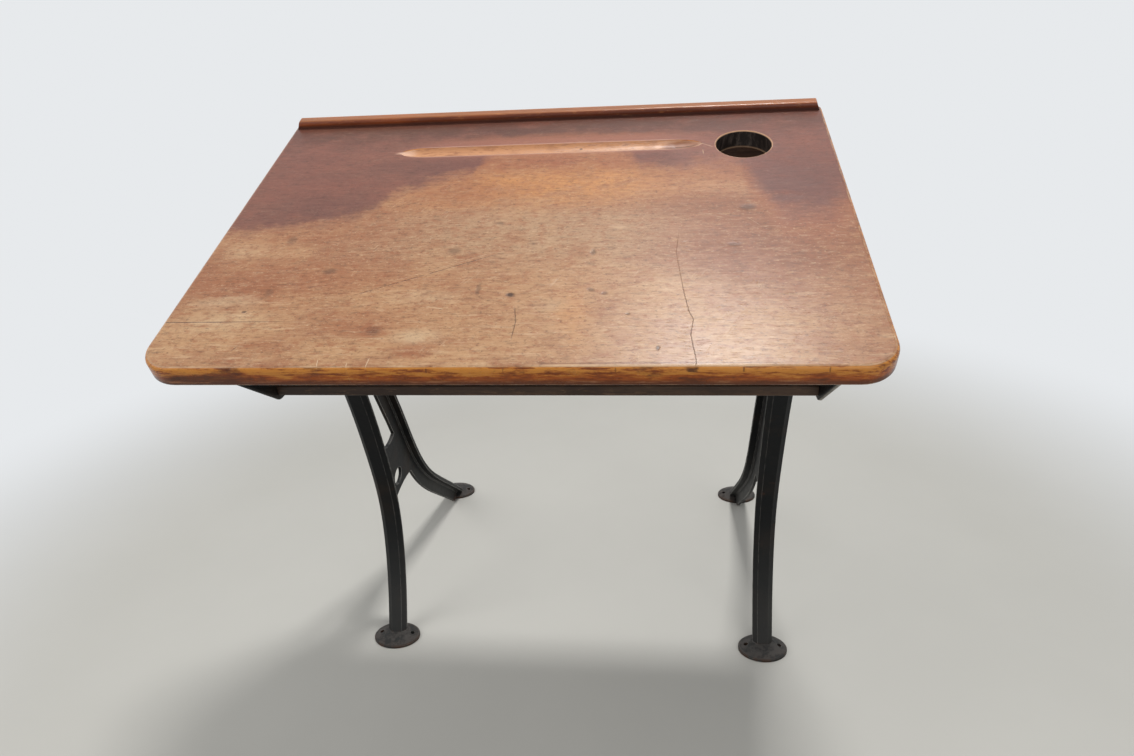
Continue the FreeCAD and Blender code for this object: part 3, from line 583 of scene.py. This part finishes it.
def topEdges(paint, at, color):
    look = edgeLook
    sideways = paint.smooth(at.facingOut, *look["sideTurn"])
    color = paint.mix(sideways * look["sideCover"], color, oldVarnish(paint, at))
    arris = paint.smooth(at.facingOut, *look["arrisFrom"]) * paint.smooth(at.facingOut, *look["arrisTo"])
    rubbed = arris * paint.smooth(at.mottle + at.fibres * look["arrisFibres"], *look["arrisLimits"])
    color = paint.mix(rubbed * look["arrisShare"], color, topColors["bare"])
    along = abs(at.x - look["lineCentre"] + (at.mottle - 0.5) * look["lineSway"])
    along = paint.smooth(along, *look["lineReach"])
    darkLine = paint.smooth(abs(at.v - look["darkLineAt"]), *look["darkLineHalf"]) * along * at.onFace
    color = paint.mix(darkLine * look["darkLineShare"], color, topColors["varnishLowAndShade"])
    # painted highlight along the front arris
    arrisHighlight = paint.smooth(abs(at.v - look["arrisHighlightAt"]), *look["arrisHighlightHalf"]) * along
    color = paint.mix(arrisHighlight * look["arrisHighlightShare"], color, topColors["bare"])
    nicks = frontNicks(paint, at, arris)
    color = paint.mix(nicks, color, topColors["varnishDark"])
    lower = paint.smooth(at.facingOut, *look["lowerFrom"]) * paint.smooth(at.facingOut, *look["lowerTo"])
    lower = lower * paint.smooth(at.smudge + at.cloud * look["lowerCloud"], *look["lowerLimits"])
    color = paint.mix(lower * look["lowerShare"], color, topColors["tan"])
    plain = paint.mix(at.fibres, topColors["underside"], topColors["varnishLowAndShade"])
    color = paint.mix(paint.smooth(at.facingOut, *look["belowTurn"]), color, plain)
    # dirt and painted shade against the rail
    corner = paint.smooth(at.v, *look["railDirtAndShadeLimits"]) * at.onFace
    return paint.mix(corner * look["railDirtAndShadeShare"], color, topColors["backDirtAndShade"]), sideways, nicks


inkwellAndGroove = {
    "inkwell": (0.213, 0.345),
    "bore": 0.02865,
    "boreEdge": (0.0006, 0.0001),
    "rimAt": 0.0008, "rimHalf": (0.0008, 0.0004), "rimTop": (-0.003, -0.001), "rimShare": 0.8,
    # pale ring at the foot of the bore: a painted highlight on its lower arris
    "litLowerRimLimits": (-0.0165, -0.0185), "footShare": 0.55,
    "groove": 0.349,
    "grooveDepth": (-0.0002, -0.0009), "grooveFloor": (-0.0068, -0.0056),
    "grooveHalf": (0.0112, 0.0105), "grooveEnds": (0.174, 0.170), "grooveCentre": 0.005,
    "wall": (0.020, 0.014, 0.012),
    "wallPale": (0.120, 0.090, 0.075),
    "rim": (0.500, 0.300, 0.180),
    "trough": (0.500, 0.245, 0.120),
    "troughPale": (0.640, 0.400, 0.280),
    "troughDark": (0.200, 0.072, 0.034),
    "halo": (0.330, 0.130, 0.085),
    # noises: offset, squeeze, scale, detail, roughness
    "streaks": ((0, 0, 0), (1.0, 6.0, 6.0), 75.0, 4.0, 0.75),
    "drips": ((0, 0, 0), (6.0, 6.0, 1.0), 40.0, 4.0, 0.70),
    "dripLimits": (0.46, 0.68), "dripShare": 0.6,
    # pale toward the right and the front, dark in streaks
    "paleTilt": (1.1, -12.0), "paleLimits": (0.44, 0.66), "paleShare": 0.8,
    "streakLimits": (0.50, 0.66), "streakShare": 0.60, "mottleLimits": (0.48, 0.64), "mottleShare": 0.35,
    # brown leaf shape at the right end, with a dark line, and a pale left end
    "leaf": ((0.1480, 0.3500), (0.0190, 0.0075), 0.30), "leafShare": 0.80,
    "leafWave": 0.003, "leafLine": (0.0012, 0.0003), "leafLineShare": 0.60,
    "leftEnd": (-0.140, -0.150), "leftShare": 0.6,
    "inkSpot": ((0.0405, 0.3525), (0.0016, 0.0010), 0.35), "inkShare": 0.8,
    "haloHalf": (0.026, 0.012), "haloUp": 0.006, "haloEnds": (0.19, 0.10), "haloCentre": 0.01,
    "haloShare": 0.45,
    # pale tip past the left end, and pale lips
    "tipAt": -0.157, "tipDown": 0.0005, "tipHalf": (0.0032, 0.0008), "tipReach": (0.011, 0.003),
    "tipLimits": (0.60, 0.40), "tipShare": 0.7,
    "lipHalf": (0.0125, 0.0108), "lipTop": (-0.0009, -0.0001), "lipEnds": (0.160, 0.120), "lipShare": 0.35,
}


def pencilGroove(paint, at, color):
    look = inkwellAndGroove
    up = at.v - look["groove"]
    aside = abs(at.x - look["grooveCentre"])
    inGroove = paint.smooth(at.w, *look["grooveDepth"]) * paint.smooth(abs(up), *look["grooveHalf"])
    inGroove = inGroove * paint.smooth(aside, *look["grooveEnds"]) * paint.smooth(at.w, *look["grooveFloor"])
    streaks = paint.layer(paint.place, *look["streaks"])
    pale = paint.smooth(streaks + at.x * look["paleTilt"][0] + up * look["paleTilt"][1], *look["paleLimits"])
    trough = paint.mix(pale * look["paleShare"], look["trough"], look["troughPale"])
    dark = paint.smooth(streaks, *look["streakLimits"]) * look["streakShare"]
    trough = paint.mix(dark, trough, look["troughDark"])
    dark = paint.smooth(at.mottle, *look["mottleLimits"]) * look["mottleShare"]
    trough = paint.mix(dark, trough, look["troughDark"])
    leaf = paint.oval(at.x, at.v, *look["leaf"])
    trough = paint.mix(leaf * look["leafShare"], trough, look["troughDark"])
    leafLine = paint.smooth(abs(up - (streaks - 0.5) * look["leafWave"]), *look["leafLine"]) * leaf
    trough = paint.mix(leafLine * look["leafLineShare"], trough, look["wall"])
    trough = paint.mix(paint.smooth(at.x, *look["leftEnd"]) * look["leftShare"], trough, look["troughPale"])
    trough = paint.mix(paint.oval(at.x, at.v, *look["inkSpot"]) * look["inkShare"], trough, look["wall"])
    halo = paint.smooth(abs(up - look["haloUp"]), *look["haloHalf"])
    halo = halo * paint.smooth(abs(at.x - look["haloCentre"]), *look["haloEnds"])
    color = paint.mix(halo * look["haloShare"], color, look["halo"])
    color = paint.mix(inGroove, color, trough)
    tip = paint.smooth(abs(up + look["tipDown"]), *look["tipHalf"])
    tip = tip * paint.smooth(abs(at.x - look["tipAt"]), *look["tipReach"])
    tip = tip * paint.smooth(streaks, *look["tipLimits"])
    color = paint.mix(tip * look["tipShare"], color, look["troughPale"])
    lip = paint.smooth(abs(up), *look["lipHalf"]) * paint.smooth(at.w, *look["lipTop"])
    lip = lip * paint.smooth(aside, *look["lipEnds"])
    return paint.mix(lip * look["lipShare"], color, look["troughPale"]), inGroove


def inkwellHole(paint, at, color):
    look = inkwellAndGroove
    dx = at.x - look["inkwell"][0]
    dv = at.v - look["inkwell"][1]
    reach = paint.math("SQRT", dx * dx + dv * dv) - look["bore"]
    wall = paint.smooth(reach, *look["boreEdge"])
    rim = paint.smooth(abs(reach - look["rimAt"]), *look["rimHalf"]) * paint.smooth(at.w, *look["rimTop"])
    # painted highlight on the lower arris of the bore
    foot = wall * paint.smooth(at.w, *look["litLowerRimLimits"])
    drips = paint.smooth(paint.layer(paint.place, *look["drips"]), *look["dripLimits"])
    inside = paint.mix(drips * look["dripShare"], look["wall"], look["wallPale"])
    color = paint.mix(wall, color, inside)
    color = paint.mix(rim * look["rimShare"], color, look["rim"])
    return paint.mix(foot * look["footShare"], color, look["rim"]), wall


topFinish = {
    "rough": 0.30, "freshRough": 0.03, "mottleRough": 0.20, "cloudRough": 0.12, "fibreRough": 0.06,
    "sideGloss": 0.10, "wallRough": 0.25, "grooveRough": 0.08,
    "fibreRelief": 0.10, "poreRelief": 0.20, "bandRelief": 0.3, "hairRelief": 0.25, "nickRelief": 1.2,
    "waveScale": 14.0, "waveRelief": 0.9,
    "bump": 0.0003,
    "specular": 0.22, "coat": 0.06, "coatRough": 0.25,
}


def topWood():
    paint = Paint("topWood")
    look = topFinish
    at = TopField(paint)
    color = wornVarnish(paint, at)
    color, stain = backStain(paint, at, color)
    color, hairs = fineGrain(paint, at, color, stain)
    color, cuts = addMarks(paint, at, color)
    color, sideways, nicks = topEdges(paint, at, color)
    color, inGroove = pencilGroove(paint, at, color)
    color, wall = inkwellHole(paint, at, color)
    roughness = (look["rough"] + (1 - stain) * look["freshRough"] + (at.mottle - 0.5) * look["mottleRough"]
                 + (at.cloud - 0.5) * look["cloudRough"] + at.fibres * look["fibreRough"]
                 - sideways * look["sideGloss"] + wall * look["wallRough"] + inGroove * look["grooveRough"])
    height = (at.bands * look["bandRelief"] - at.fibres * look["fibreRelief"] - at.pores * look["poreRelief"]
              - cuts - hairs * look["hairRelief"] - nicks * look["nickRelief"]
              + paint.noise(at.place, look["waveScale"]) * look["waveRelief"])
    return paint.finish(color, roughness, paint.bump(height, look["bump"]),
                        Specular_IOR_Level=look["specular"], Coat_Weight=look["coat"],
                        Coat_Roughness=look["coatRough"])


# the plainer boards
boardLooks = {
    "railWood": {
        "wander": 4.0, "sway": 0.006, "bands": 2.2, "fibres": 11.0, "pores": 80.0,
        "light": (0.320, 0.072, 0.015), "dark": (0.110, 0.026, 0.011), "worn": (0.450, 0.175, 0.055),
        "rough": 0.27, "coat": 0.10, "wear": 0.45,
    },
    "shelfWood": {
        "wander": 4.0, "sway": 0.012, "bands": 2.0, "fibres": 10.0, "pores": 75.0,
        "light": (0.120, 0.068, 0.040), "dark": (0.036, 0.020, 0.013), "worn": (0.260, 0.150, 0.085),
        "rough": 0.45, "coat": 0.05, "wear": 0.25,
    },
    "backWood": {
        "wander": 4.0, "sway": 0.012, "bands": 1.8, "fibres": 9.0, "pores": 70.0,
        "light": (0.290, 0.125, 0.060), "dark": (0.105, 0.040, 0.022), "worn": (0.380, 0.220, 0.125),
        "rough": 0.40, "coat": 0.08, "wear": 0.30,
    },
}

boardFinish = {
    # noises: offset, squeeze, scale, detail, roughness
    "patches": ((0, 0, 0), (1.0, 2.0, 2.0), 12.0, 4.0, 0.60),
    "grain": ((5, 3, 0), (1.0, 5.0, 5.0), 60.0, 4.0, 0.75),
    "scuffs": ((0, 0, 0), (1.0, 6.0, 6.0), 45.0, 3.0, 0.60),
    "bandLimits": (0.35, 0.65), "scuffLimits": (0.62, 0.74),
    # what lies over the bands: value, limits, share, colour
    "layers": [("patches", (0.45, 0.65), 0.50, "dark"), ("fibres", (0.45, 0.62), 0.50, "dark"),
               ("grain", (0.46, 0.30), 0.35, "worn"), ("grain", (0.52, 0.68), 0.40, "dark")],
    "scuffRough": 0.2, "fibreRough": 0.1,
    "fibreRelief": 0.15, "poreRelief": 0.25, "bandRelief": 0.3, "scuffRelief": 0.3, "waveScale": 20.0,
    "bump": 0.0003, "specular": 0.25, "coatRough": 0.2,
    # the rail's top, rubbed and lighter as painted light on its upward face, and the dirt along its foot with
    # painted shade where it meets the top
    "crestTurn": (0.75, 0.98), "crestShare": 0.42,
    "footDirtAndShade": (0.070, 0.031, 0.025), "footHeight": (0.0042, 0.0012), "footFront": (0.425, 0.418),
    "footShare": 0.8,
}


def boardWood(name):
    paint = Paint(name)
    look = boardLooks[name]
    finish = boardFinish
    place, x, v, w = onTop(paint)
    bands, fibres, pores = woodFigure(paint, place, look)
    values = {"fibres": fibres}
    for noise in ("patches", "grain"):
        values[noise] = paint.layer(place, *finish[noise])
    color = paint.mix(paint.smooth(bands, *finish["bandLimits"]), look["light"], look["dark"])
    for noise, limits, share, tone in finish["layers"]:
        color = paint.mix(paint.smooth(values[noise], *limits) * share, color, look[tone])
    scuffs = paint.smooth(paint.layer(place, *finish["scuffs"]), *finish["scuffLimits"])
    color = paint.mix(scuffs * look["wear"], color, look["worn"])
    if name == "railWood":
        # the upward face is rubbed and painted lighter, as painted light
        crestRubbedAndLit = paint.smooth(paint.dot(paint.facing, topOut), *finish["crestTurn"])
        color = paint.mix(crestRubbedAndLit * finish["crestShare"], color, look["worn"])
        # dirt and painted shade along the foot of the rail, where it meets the top
        foot = paint.smooth(w, *finish["footHeight"]) * paint.smooth(v, *finish["footFront"])
        color = paint.mix(foot * finish["footShare"], color, finish["footDirtAndShade"])
    roughness = look["rough"] + scuffs * finish["scuffRough"] + fibres * finish["fibreRough"]
    height = (bands * finish["bandRelief"] - fibres * finish["fibreRelief"] - pores * finish["poreRelief"]
              - scuffs * finish["scuffRelief"] + paint.noise(place, finish["waveScale"]))
    return paint.finish(color, roughness, paint.bump(height, finish["bump"]),
                        Specular_IOR_Level=finish["specular"], Coat_Weight=look["coat"],
                        Coat_Roughness=finish["coatRough"])


ironLook = {
    "paint": (0.0070, 0.0076, 0.0082),
    "brown": (0.022, 0.015, 0.011),
    "rust": (0.085, 0.038, 0.020),
    "edgeWearAndHighlight": (0.330, 0.315, 0.290),
    "dust": (0.075, 0.072, 0.068),
    "lowDust": (0.040, 0.040, 0.038),
    "rubbed": (0.300, 0.275, 0.240),
    # noises: scale, detail, roughness
    "cloud": (11.0, 4.0, 0.6), "grit": (260.0, 3.0, 0.6), "pits": (90.0, 4.0, 0.7),
    # worn edges with a painted highlight, stronger on the arrises that face the middle
    "edgeRadius": 0.0018, "edgeSamples": 6,
    "edgeTurn": (0.985, 0.90), "edgeLimits": (0.60, 0.88), "edgeCloud": 0.6,
    "inwardLimits": (0.05, 0.45), "outwardShare": 0.2, "edgeShare": 0.8,
    "brownLimits": (0.46, 0.68), "brownShare": 0.65,
    "rustPits": (0.58, 0.72), "rustCloud": (0.40, 0.60), "rustShare": 0.4,
    # floor dust on the lower legs
    "dustHeight": (0.230, 0.030), "dustCloud": 0.6, "dustLeast": 0.4,
    # slanted front of the right box end, rubbed pale, partly a painted highlight on its lit edge
    "slantTurn": (0.30, 0.60), "slantHeight": (0.488, 0.496), "slantSide": (0.280, 0.283),
    "slantLimits": (0.70, 1.00), "slantShare": 0.8,
    # feet: rust on the rims, dust and wear on the crowns
    "rimHeight": (0.014, 0.004), "rimPits": (0.42, 0.60), "rimShare": 0.55,
    "crownTurn": (0.55, 0.95), "crownHeight": (0.60, 0.40), "crownPits": (0.58, 0.74), "crownCloud": 0.3,
    "crownShare": 0.75,
    "rough": 0.44, "pitRough": 0.22, "wornGloss": 0.12,
    "gritRelief": 0.5, "pitRelief": 0.8, "cloudRelief": 1.5, "bump": 0.0004,
    "specular": 0.14,
}


def castIron():
    paint = Paint("castIron")
    look = ironLook
    x, y, z = paint.parts(paint.place)
    cloud, grit, pits = [paint.noise(paint.place, *look[name]) for name in ("cloud", "grit", "pits")]
    soft = paint.node("ShaderNodeBevel", {"samples": look["edgeSamples"]}, {"Radius": look["edgeRadius"]},
                      "Normal")
    edges = paint.smooth(paint.dot(soft, paint.facing), *look["edgeTurn"])
    highlightSide = paint.smooth(paint.dot(soft, (-1, 0, 0)) * paint.math("SIGN", x), *look["inwardLimits"])
    highlightSide = highlightSide * (1 - look["outwardShare"]) + look["outwardShare"]
    # worn paint on the edges, with a painted highlight on the inner arrises
    worn = edges * paint.smooth(pits + cloud * look["edgeCloud"], *look["edgeLimits"]) * highlightSide
    brown = paint.smooth(cloud, *look["brownLimits"]) * look["brownShare"]
    color = paint.mix(brown, look["paint"], look["brown"])
    rusty = paint.smooth(pits, *look["rustPits"]) * paint.smooth(cloud, *look["rustCloud"])
    color = paint.mix(rusty * look["rustShare"], color, look["rust"])
    dusty = paint.smooth(z, *look["dustHeight"]) * (cloud * look["dustCloud"] + look["dustLeast"])
    color = paint.mix(dusty, color, look["lowDust"])
    color = paint.mix(worn * look["edgeShare"], color, look["edgeWearAndHighlight"])
    # rubbed paint, and a painted highlight on the lit slanted edge of the right end only
    slantRubbedAndLit = paint.smooth(paint.dot(paint.facing, (0, -1, 0)), *look["slantTurn"])
    slantRubbedAndLit = slantRubbedAndLit * paint.smooth(z, *look["slantHeight"]) * paint.smooth(x, *look["slantSide"])
    slantRubbedAndLit = slantRubbedAndLit * paint.smooth(pits + cloud, *look["slantLimits"])
    color = paint.mix(slantRubbedAndLit * look["slantShare"], color, look["rubbed"])
    rim = paint.smooth(z, *look["rimHeight"]) * paint.smooth(pits, *look["rimPits"])
    color = paint.mix(rim * look["rimShare"], color, look["rust"])
    crown = paint.smooth(paint.dot(paint.facing, (0, 0, 1)), *look["crownTurn"])
    crown = crown * paint.smooth(z, *look["crownHeight"])
    crown = crown * paint.smooth(pits + cloud * look["crownCloud"], *look["crownPits"])
    color = paint.mix(crown * look["crownShare"], color, look["dust"])
    roughness = look["rough"] + pits * look["pitRough"] - worn * look["wornGloss"]
    height = grit * look["gritRelief"] + pits * look["pitRelief"] + cloud * look["cloudRelief"]
    return paint.finish(color, roughness, paint.bump(height, look["bump"]),
                        Specular_IOR_Level=look["specular"])


fastenerLook = {
    "steel": (0.170, 0.140, 0.115),
    "dark": (0.045, 0.033, 0.026),
    "rust": (0.150, 0.065, 0.030),
    # noises: scale, detail, roughness
    "cloud": (160.0, 4.0, 0.6), "pits": (700.0, 3.0, 0.6),
    "darkLimits": (0.35, 0.65), "rustLimits": (0.52, 0.68), "rustShare": 0.6,
    "rough": 0.42, "pitRough": 0.25, "bump": 0.00015,
    "metallic": 0.8,
}


def oldSteel():
    paint = Paint("oldSteel")
    look = fastenerLook
    cloud, pits = [paint.noise(paint.place, *look[name]) for name in ("cloud", "pits")]
    color = paint.mix(paint.smooth(cloud, *look["darkLimits"]), look["steel"], look["dark"])
    color = paint.mix(paint.smooth(pits, *look["rustLimits"]) * look["rustShare"], color, look["rust"])
    roughness = look["rough"] + pits * look["pitRough"]
    return paint.finish(color, roughness, paint.bump(pits + cloud, look["bump"]), Metallic=look["metallic"])


def dress(names, material):
    for name in names:
        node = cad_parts[name]
        node.data.materials.clear()
        node.data.materials.append(material)
        for face in node.data.polygons:
            face.material_index = 0


allNodes = sorted(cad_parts)
topPlanks = [name for name in allNodes if name.startswith("top_plank")]
dress(topPlanks, topWood())
dress(["rear_rail"], boardWood("railWood"))
dress([name for name in allNodes if name.startswith("shelf_board")], boardWood("shelfWood"))
dress([name for name in allNodes if name.startswith("back_board")], boardWood("backWood"))
dress(["left_standard", "right_standard"], castIron())
fasteners = [name for name in allNodes if any(kind in name for kind in ("screws", "bolts", "nuts"))]
dress(fasteners, oldSteel())
print("materials given")


# the room around the desk
stageLook = {
    "floor": (0.560, 0.545, 0.500),
    "floorDark": (0.42, 0.41, 0.37),
    "floorClouds": (3.0, 4.0, 0.6),  # scale, detail, roughness
    "cloudLimits": (0.3, 0.7),
    "cloudShare": 0.12,
    "floorRough": 0.75,
    "haze": (0.800, 0.820, 0.840),
    "nearEdge": 0.75,  # the floor fades into the backdrop between these two distances
    "farEdge": 1.55,
    "side": 14.0,
    "skyLight": 0.48,  # strength of the world on the object
    "skySeen": 1.0,  # and as it is seen, directly or mirrored
}


def makeFloor():
    bpy.ops.object.select_all(action="DESELECT")
    bpy.ops.mesh.primitive_plane_add(size=stageLook["side"], location=(0, 0, 0))
    floor = bpy.context.object
    floor.name = "floor"
    paint = Paint("paleFloor")
    x, y, z = paint.parts(paint.place)
    reach = paint.math("SQRT", x * x + y * y)
    far = paint.smooth(reach, stageLook["nearEdge"], stageLook["farEdge"])
    clouds = paint.noise(paint.place, *stageLook["floorClouds"])
    darker = paint.smooth(clouds, *stageLook["cloudLimits"]) * stageLook["cloudShare"]
    color = paint.mix(darker, stageLook["floor"], stageLook["floorDark"])
    paint.feed(paint.shader.inputs["Base Color"], color)
    paint.feed(paint.shader.inputs["Roughness"], stageLook["floorRough"])
    seen = paint.node("ShaderNodeLightPath", out="Is Camera Ray")
    mirrored = paint.node("ShaderNodeLightPath", out="Is Glossy Ray")
    glow = paint.node("ShaderNodeEmission", None, {"Color": stageLook["haze"], "Strength": 1.0})
    matt = Value(paint, paint.shader.outputs[0])
    blend = paint.node("ShaderNodeMixShader", None, {0: far * paint.larger(seen, mirrored), 1: matt, 2: glow})
    paint.tree.links.new(blend.socket, paint.tree.nodes["Material Output"].inputs["Surface"])
    floor.data.materials.append(paint.material)


def makeWorld():
    world = bpy.data.worlds.new("paleRoom")
    bpy.context.scene.world = world
    world.use_nodes = True
    tree = world.node_tree
    sky = tree.nodes["Background"]
    sky.inputs["Color"].default_value = (*stageLook["haze"], 1)
    path = tree.nodes.new("ShaderNodeLightPath")
    seen = path.outputs["Is Camera Ray"]
    for ray in ("Is Glossy Ray", "Is Transmission Ray"):
        either = tree.nodes.new("ShaderNodeMath")
        either.operation = "MAXIMUM"
        tree.links.new(seen, either.inputs[0])
        tree.links.new(path.outputs[ray], either.inputs[1])
        seen = either.outputs[0]
    level = tree.nodes.new("ShaderNodeMapRange")
    level.inputs["To Min"].default_value = stageLook["skyLight"]
    level.inputs["To Max"].default_value = stageLook["skySeen"]
    tree.links.new(seen, level.inputs["Value"])
    tree.links.new(level.outputs["Result"], sky.inputs["Strength"])


lamps = {
    "overhead": {"at": (0.31, 0.40, 2.45), "to": (0.16, -0.20, 0.60), "size": (0.40, 0.30), "watts": 31.0},
    "left": {"at": (-1.9, -1.0, 2.1), "to": (0, 0, 0.5), "size": (1.6, 1.6), "watts": 20.0},
    "front": {"at": (1.2, -2.2, 1.6), "to": (0, 0, 0.4), "size": (1.6, 1.2), "watts": 12.0},
}


def makeLamps():
    for name, lamp in lamps.items():
        light = bpy.data.lights.new(name, "AREA")
        light.shape = "RECTANGLE"
        light.size, light.size_y = lamp["size"]
        light.energy = lamp["watts"]
        holder = bpy.data.objects.new(name, light)
        holder.location = lamp["at"]
        way = Vector(lamp["to"]) - Vector(lamp["at"])
        holder.rotation_euler = way.to_track_quat("-Z", "Y").to_euler()
        bpy.context.collection.objects.link(holder)


cameraSet = {
    "at": (0.1201, -0.9583, 0.8580),
    "left": math.radians(6.933),
    "down": math.radians(24.309),
    "roll": math.radians(2.948),
    "focal": 796.6,
    "imageWidth": 1134.0,
    "sensor": 36.0,
    "nearest": 0.01,
}


def makeCamera():
    data = bpy.data.cameras.new("camera")
    data.sensor_fit = "HORIZONTAL"
    data.sensor_width = cameraSet["sensor"]
    data.lens = cameraSet["focal"] / cameraSet["imageWidth"] * cameraSet["sensor"]
    data.clip_start = cameraSet["nearest"]
    holder = bpy.data.objects.new("camera", data)
    level = Matrix.Rotation(math.pi / 2, 4, "X")
    turn = Matrix.Rotation(cameraSet["left"], 4, "Z") @ Matrix.Rotation(-cameraSet["down"], 4, "X")
    turn = turn @ Matrix.Rotation(cameraSet["roll"], 4, "Y") @ level
    holder.matrix_world = Matrix.Translation(cameraSet["at"]) @ turn
    bpy.context.collection.objects.link(holder)
    bpy.context.scene.camera = holder


makeFloor()
makeWorld()
makeLamps()
makeCamera()
bpy.context.scene.view_settings.view_transform = "Standard"
print("stage, lamps and camera set")
